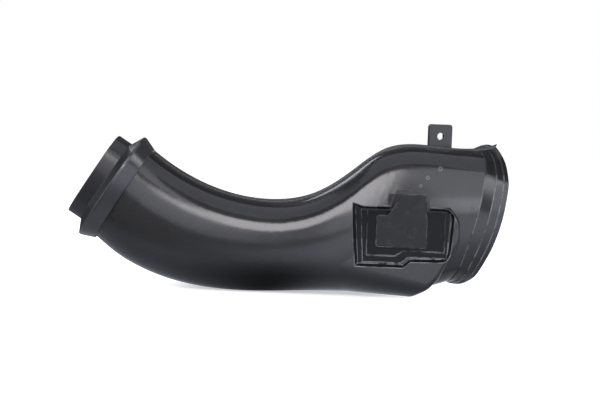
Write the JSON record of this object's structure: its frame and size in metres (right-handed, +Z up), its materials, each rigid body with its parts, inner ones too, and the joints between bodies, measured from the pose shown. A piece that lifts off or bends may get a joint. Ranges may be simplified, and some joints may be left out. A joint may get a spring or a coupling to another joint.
{
  "type": "air intake duct",
  "caption": "Curved carbon-weave air intake duct of two half shells with a bell mouth, flanged outlet spigot, stepped clearance recess and a bolt tab.",
  "frame": {"origin": "middle of the bolt hole in the tab", "axes": "+X along the duct from the outlet to the bell mouth, +Z up, -Y towards the side with the recess"},
  "size_m": [0.4346, 0.1029, 0.1726],
  "materials": {
    "carbon": "clear-coated carbon twill",
    "collar": "clear-coated carbon, satin black spigot",
    "tab": "clear-coated carbon plate"
  },
  "bodies": {
    "root": {"front_shell": "carbon", "rear_shell": "carbon", "outlet_collar": "collar", "mounting_tab": "tab"}
  },
  "joints": []
}
